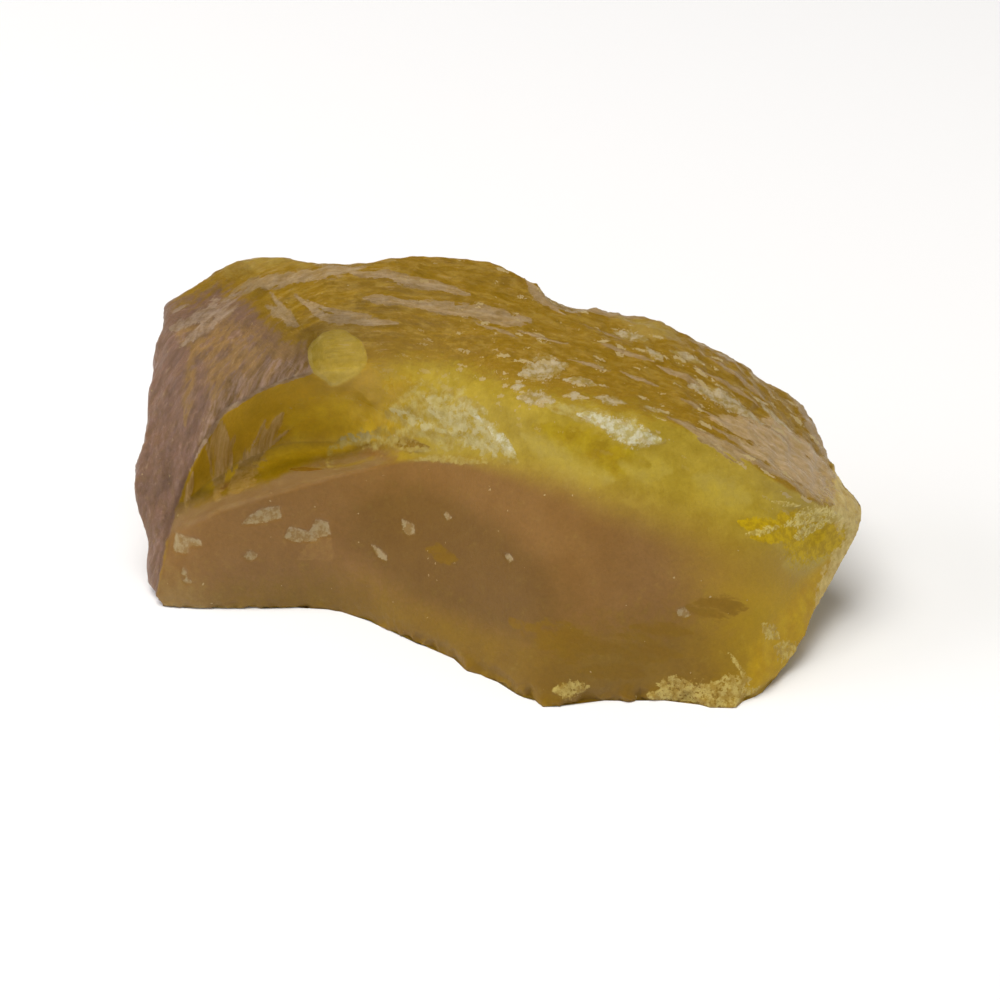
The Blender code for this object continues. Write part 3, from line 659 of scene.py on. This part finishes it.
# What lies over what: the zone, its two colours, how wide their patches are in millimetres, how far its edge
# frays and along which grain, how soft the edge is, how much it hides what is under it, and the roughness.
LAYERS = [
    # The bevel, its yellow partly a painted glow of light coming through it, the back, the hollow and the
    # ledge before it.
    ("bevel", "#98801e", "#aa922e", 1.8, 0.3, "even", 0.40, 1.0, 0.34),
    ("cloud", "#a48c10", "#8c7000", 1.8, 1.2, "even", 0.40, 0.9, 0.34),
    ("back", "#927012", "#7c5c10", 3.0, 0.4, "even", 0.20, 1.0, 0.38),
    ("hollow", "#b48e1a", "#a07e12", 3.0, 0.3, "even", 0.50, 1.0, 0.22),
    ("gold", "#7c6004", "#846804", 1.8, 0.1, "even", 0.45, 1.0, 0.30),
    # Painted light on the wall of the hollow, where it faces the light.
    ("hollow light", "#ccaa20", "#bc981a", 1.8, 0.3, "even", 0.60, 0.9, 0.40),
    # Painted light where the hollow's floor meets its wall, against the shade that falls there.
    ("painted-light crease", "#c09c18", "#b08c12", 1.8, 0.2, "even", 0.50, 0.9, 0.50),
    ("ledge", "#886c44", "#7e603a", 1.8, 0.5, "even", 0.45, 1.0, 0.34),
    ("lens", "#785010", "#7a5a0e", 0.8, 0.4, "even", 0.20, 0.9, 0.25),
    # The top and the fluted west end, with their streaks. The west end's mauve, and its pale streaks, flakes
    # and fringe, are partly a painted sheen.
    ("top", "#84640c", "#8e6e16", 0.5, 0.4, "short", 0.30, 1.0, 0.36),
    ("top streaks", "#8a6e38", "#9c7e30", 0.5, 2.0, "short", 0.35, 0.6, 0.34),
    ("crown", "#9c8339", "#927530", 0.8, 0.7, "even", 0.35, 1.0, 0.34),
    ("west", "#7e604e", "#785c42", 0.4, 0.8, "west", 0.30, 1.0, 0.36),
    ("olive shade", "#947440", "#8a6a38", 0.4, 2.0, "west", 0.60, 0.75, 0.34),
    ("west streaks", "#8c7060", "#705440", 0.4, 2.0, "west", 0.25, 0.7, 0.32),
    ("west flakes", "#a59078", "#8a7050", 0.4, 2.2, "west", 0.25, 0.8, 0.28),
    ("fringe", "#987c68", "#765820", 0.4, 1.5, "west", 0.25, 0.9, 0.32),
    # The front, its brown partly a painted mauve sheen, and where it turns to gold.
    ("front", "#84602e", "#7e5a28", 3.0, 0.1, "even", 0.50, 1.0, 0.36),
    ("front low", "#80600e", "#785810", 3.0, 0.5, "even", 0.50, 1.0, 0.46),
    ("front east", "#a8860c", "#a48408", 3.0, 0.1, "even", 0.50, 1.0, 0.60),
    # A painted glow low at the thin west corner of the front.
    ("west foot glow", "#987a44", "#8c6e3c", 3.0, 0.5, "even", 0.50, 0.8, 0.36),
    # Painted shade in the valley of the front.
    ("valley painted shade", "#6e501e", "#684a1a", 1.8, 0.3, "even", 0.50, 0.8, 0.46),
    # A painted glow along the thin eastern edge, over its own gold.
    ("east edge glow", "#b8960a", "#a88208", 1.8, 0.4, "even", 0.45, 1.0, 0.70),
    ("haze", "#b8a658", "#ae9a38", 1.8, 2.0, "even", 1.40, 0.35, 0.50),
    ("olive", "#7a5800", "#7e5e04", 0.8, 2.6, "drift", 0.50, 0.8, 0.60),
    # Flakes that are left on the skin, most of them pale with a painted reflection, and the round chip.
    ("flakes", "#a58f6c", "#8c7248", 0.5, 2.6, "short", 0.20, 0.85, 0.25),
    ("east flake", "#b89e78", "#9c8252", 0.5, 2.4, "short", 0.30, 0.9, 0.25),
    ("hollow flakes", "#bc9c64", "#9a7836", 0.4, 1.5, "west", 0.30, 0.9, 0.26),
    ("floor flakes", "#8c6e34", "#806218", 0.4, 1.5, "west", 0.50, 0.8, 0.30),
    # A painted highlight along the lip over the hollow.
    ("lip highlight", "#b49c80", "#8a6e50", 0.8, 1.5, "even", 0.20, 0.8, 0.30),
    ("round chip", "#a98f34", "#a18624", 0.8, 0.10, "even", 0.10, 1.0, 0.26),
    # Painted light on the foot of the round chip, in the shade under the lip.
    ("chip foot painted light", "#c4a840", "#bca034", 0.8, 0.3, "even", 0.30, 0.8, 0.26),
    ("chip rim", "#b8a050", "#a98f34", 0.8, 1.0, "even", 0.20, 0.7, 0.26),
    ("brown lens", "#7a5c14", "#80621a", 0.8, 0.6, "even", 0.25, 0.9, 0.26),
    # The pocket at the east end, crust, and small chips.
    ("pocket", "#b89a04", "#a08204", 0.6, 0.8, "fine", 0.25, 0.95, 0.75),
    ("pale edge", "#ccb878", "#ae924a", 0.8, 1.5, "even", 0.40, 0.85, 0.60),
    ("frost", "#b4a688", "#968042", 0.8, 2.5, "fine", 0.40, 0.8, 0.45),
    ("crust", "#b0a05c", "#967c2c", 0.8, 2.5, "even", 0.60, 0.8, 0.45),
    ("white crust", "#b6aa7c", "#a69654", 0.8, 3.0, "even", 0.50, 0.8, 0.45),
    ("white lens", "#c2bda0", "#aa9c60", 0.6, 1.4, "fine", 0.40, 0.9, 0.45),
    ("pocket crust", "#c8b870", "#a89038", 0.6, 2.5, "fine", 0.30, 0.9, 0.40),
    ("foot crust", "#c0ac60", "#a08438", 0.6, 2.5, "fine", 0.40, 0.8, 0.60),
    ("brown chip", "#8f6c34", "#876330", 0.6, 1.0, "fine", 0.35, 0.8, 0.35),
    ("chips", "#a4926a", "#8c7040", 0.6, 0.9, "fine", 0.25, 0.8, 0.40),
]
patch_clouds = {}
body_colour = colour("#a68b22")
roughness = 0.34
PATCH_EDGE = 0.15
FINE_PATCH_EDGE = 0.08
for name, first, second, patch, fray, run, soft, cover, gloss in LAYERS:
    mask = add(tree, "ShaderNodeAttribute", {}, attribute_name=name).outputs["Fac"]
    raised = add(tree, "ShaderNodeMath", {0: mask, 1: 1 + fray}, operation="MULTIPLY").outputs[0]
    frayed = add(
        tree, "ShaderNodeMath", {0: frays[run], 1: fray, 2: raised}, operation="MULTIPLY_ADD"
    ).outputs[0]
    covered = add(
        tree, "ShaderNodeMapRange",
        {"Value": frayed, "From Min": 0.5 + fray - soft, "From Max": 0.5 + fray + soft, "To Max": cover},
        interpolation_type="SMOOTHSTEP",
    ).outputs[0]
    if (run, patch) not in patch_clouds:
        edge = FINE_PATCH_EDGE if run == "fine" else PATCH_EDGE
        cloud = add(
            tree, "ShaderNodeTexNoise",
            {"Vector": RUNS[run][0], "Scale": 1 / patch, "Detail": 3, "Roughness": 0.65},
        )
        patch_clouds[run, patch] = add(
            tree, "ShaderNodeMapRange",
            {"Value": cloud.outputs["Fac"], "From Min": 0.5 - edge, "From Max": 0.5 + edge},
        ).outputs[0]
    own = add(
        tree, "ShaderNodeMix", {0: patch_clouds[run, patch], 6: colour(first), 7: colour(second)},
        data_type="RGBA",
    ).outputs[2]
    body_colour = add(
        tree, "ShaderNodeMix", {0: covered, 6: body_colour, 7: own}, data_type="RGBA"
    ).outputs[2]
    roughness = add(
        tree, "ShaderNodeMix", {0: covered, 2: roughness, 3: gloss}, data_type="FLOAT"
    ).outputs[0]

# Fine mottling all over, from grains within the stone.
MOTTLE_WIDTH = 0.3125
MOTTLE_DEPTH = 0.10
mottle = add(
    tree, "ShaderNodeTexNoise",
    {"Vector": in_mm, "Scale": 1 / MOTTLE_WIDTH, "Detail": 4, "Roughness": 0.85},
).outputs["Fac"]
shade = add(
    tree, "ShaderNodeMapRange",
    {
        "Value": mottle, "From Min": 0.3, "From Max": 0.7,
        "To Min": 1 - MOTTLE_DEPTH, "To Max": 1 + MOTTLE_DEPTH,
    },
).outputs[0]
body_colour = add(tree, "ShaderNodeVectorMath", {0: body_colour, 3: shade}, operation="SCALE").outputs[0]

# Hair-thin splinters along the grain, on the top and on the west end only. Real ones are finer still, and
# would not show.
SPLINTER_WIDTH = 0.333
SPLINTER_DEPTH = 0.11
on_west = add(tree, "ShaderNodeAttribute", {}, attribute_name="west").outputs["Fac"]
splintery = add(tree, "ShaderNodeAttribute", {}, attribute_name="splintery").outputs["Fac"]
along_grain = add(
    tree, "ShaderNodeMix", {0: on_west, 4: along_top, 5: down_west}, data_type="VECTOR"
).outputs[1]
splinters = add(
    tree, "ShaderNodeTexNoise",
    {"Vector": along_grain, "Scale": 1 / SPLINTER_WIDTH, "Detail": 4, "Roughness": 0.75},
).outputs["Fac"]
line_shade = add(
    tree, "ShaderNodeMapRange",
    {
        "Value": splinters, "From Min": 0.35, "From Max": 0.65,
        "To Min": -SPLINTER_DEPTH, "To Max": SPLINTER_DEPTH,
    },
).outputs[0]
lined = add(
    tree, "ShaderNodeMath", {0: line_shade, 1: splintery, 2: 1.0}, operation="MULTIPLY_ADD"
).outputs[0]
body_colour = add(tree, "ShaderNodeVectorMath", {0: body_colour, 3: lined}, operation="SCALE").outputs[0]
pale_line = add(
    tree, "ShaderNodeMapRange", {"Value": splinters, "From Min": 0.60, "From Max": 0.70, "To Max": 0.35}
).outputs[0]
pale_line = add(tree, "ShaderNodeMath", {0: pale_line, 1: splintery}, operation="MULTIPLY").outputs[0]
body_colour = add(
    tree, "ShaderNodeMix", {0: pale_line, 6: body_colour, 7: colour("#ac977c")}, data_type="RGBA"
).outputs[2]
# Pale flecks: short ones along the grain of the top, and small round ones all over. Each kind has the run it
# follows, how far apart its flecks are, what share of them shows, their size and where they lie.
RUFFLE_WIDTH = 0.25
ruffle = add(
    tree, "ShaderNodeTexNoise", {"Vector": in_mm, "Scale": 1 / RUFFLE_WIDTH, "Detail": 2}
).outputs["Color"]
flecked = add(tree, "ShaderNodeAttribute", {}, attribute_name="flecked").outputs["Fac"]
for spots, spacing, share, size, where in (
    (short_run, 0.6, 0.7, 0.42, flecked), (in_mm, 0.8, 0.3, 0.12, 0.9),
):
    ruffled = add(
        tree, "ShaderNodeVectorMath", {0: ruffle, 1: (0.5, 0.5, 0.5), 2: spots}, operation="MULTIPLY_ADD"
    ).outputs[0]
    cells = add(tree, "ShaderNodeTexVoronoi", {"Vector": ruffled, "Scale": 1 / spacing})
    odds = add(tree, "ShaderNodeSeparateColor", {0: cells.outputs["Color"]}).outputs[0]
    speck_size = add(
        tree, "ShaderNodeMapRange", {"Value": odds, "From Min": 1 - share, "From Max": 1.0, "To Max": size}
    ).outputs[0]
    speck = add(
        tree, "ShaderNodeMath", {0: cells.outputs["Distance"], 1: speck_size}, operation="LESS_THAN"
    ).outputs[0]
    speck = add(tree, "ShaderNodeMath", {0: speck, 1: where}, operation="MULTIPLY").outputs[0]
    body_colour = add(
        tree, "ShaderNodeMix", {0: speck, 6: body_colour, 7: colour("#ad9868")}, data_type="RGBA"
    ).outputs[2]

# The mottling and the splinters are felt as well as seen.
PIT_SHARE = 0.4
RIPPLE_DEPTH = 0.25
pitted = add(tree, "ShaderNodeMath", {0: mottle, 1: PIT_SHARE}, operation="MULTIPLY").outputs[0]
splintered = add(
    tree, "ShaderNodeMath", {0: splinters, 1: splintery, 2: pitted}, operation="MULTIPLY_ADD"
).outputs[0]
ripple = add(
    tree, "ShaderNodeBump", {"Height": splintered, "Strength": 0.7, "Distance": RIPPLE_DEPTH * MM}
).outputs["Normal"]
tree.links.new(body_colour, surface.inputs["Base Color"])
tree.links.new(roughness, surface.inputs["Roughness"])
tree.links.new(ripple, surface.inputs["Normal"])
surface.inputs["IOR"].default_value = 1.62
surface.inputs["Specular IOR Level"].default_value = 0.28
surface.inputs["Subsurface Weight"].default_value = 0.2
surface.inputs["Subsurface Radius"].default_value = (1.0, 0.75, 0.25)
surface.inputs["Subsurface Scale"].default_value = 1.5 * MM
stone.data.materials.clear()
stone.data.materials.append(topaz)

# ---------------------------------------------------------------------------------------------------------
# The table, a plain pale sheet, and a soft studio: a bright room, a softbox overhead and one to each side.
# ---------------------------------------------------------------------------------------------------------

TABLE_SIZE = 3.0
table_mesh = bpy.data.meshes.new("table")
half = TABLE_SIZE / 2
corners = [(-half, -half, 0), (half, -half, 0), (half, half, 0), (-half, half, 0)]
table_mesh.from_pydata(corners, [], [(0, 1, 2, 3)])
table = bpy.data.objects.new("table", table_mesh)
bpy.context.scene.collection.objects.link(table)
# Matt white paper has no shine, and takes the soft shadow of the stone.
paper = bpy.data.materials.new("matt white paper")
paper.use_nodes = True
paper.node_tree.nodes["Principled BSDF"].inputs["Base Color"].default_value = colour("#f4f4f4")
paper.node_tree.nodes["Principled BSDF"].inputs["Roughness"].default_value = 0.9
table_mesh.materials.append(paper)

# The room is bright low down, where its walls are, and dim overhead.
room = bpy.data.worlds.new("bright room")
room.use_nodes = True
backdrop = room.node_tree.nodes["Background"]
way = add(room.node_tree, "ShaderNodeTexCoord", {}).outputs["Generated"]
rise = add(room.node_tree, "ShaderNodeSeparateXYZ", {0: way}).outputs["Z"]
brightness = add(
    room.node_tree, "ShaderNodeMapRange",
    {"Value": rise, "From Min": 0.05, "From Max": 0.40, "To Min": 1.0, "To Max": 0.12},
    interpolation_type="SMOOTHSTEP",
).outputs[0]
backdrop.inputs["Color"].default_value = colour("#fbfaff")
room.node_tree.links.new(brightness, backdrop.inputs["Strength"])
bpy.context.scene.world = room

# Each softbox: where it is, its size, its power in watts and its colour.
SOFTBOXES = {
    "overhead": ((-0.15, -0.10, 0.80), 0.60, 7.0, "#fffdf8"),
    "west": ((-0.70, -0.05, 0.38), 0.40, 2.0, "#f6f3ff"),
    "east": ((0.60, -0.25, 0.26), 0.40, 0.6, "#fffaf0"),
}
for name, (spot, size, power, tint) in SOFTBOXES.items():
    lamp = bpy.data.lights.new(name, "AREA")
    lamp.size = size
    lamp.energy = power
    lamp.color = colour(tint)[:3]
    softbox = bpy.data.objects.new(name, lamp)
    softbox.location = spot
    softbox.rotation_euler = Vector(spot).to_track_quat("Z", "Y").to_euler()
    softbox.visible_glossy = False
    bpy.context.scene.collection.objects.link(softbox)

# The camera looks down on the stone from straight in front.
LOOK_DOWN = math.radians(32)
CAMERA_DISTANCE = 252 * MM
CAMERA_AIM = Vector((0.6, -0.7, 10.6)) * MM
camera = bpy.data.objects.new("camera", bpy.data.cameras.new("camera"))
camera.data.lens = 100
camera.data.sensor_width = 36
camera.data.clip_start = 0.01
camera.location = CAMERA_AIM + Vector((0, -math.cos(LOOK_DOWN), math.sin(LOOK_DOWN))) * CAMERA_DISTANCE
camera.rotation_euler = (math.radians(90) - LOOK_DOWN, 0, 0)
bpy.context.scene.collection.objects.link(camera)
bpy.context.scene.camera = camera
bpy.context.scene.view_settings.view_transform = "Standard"
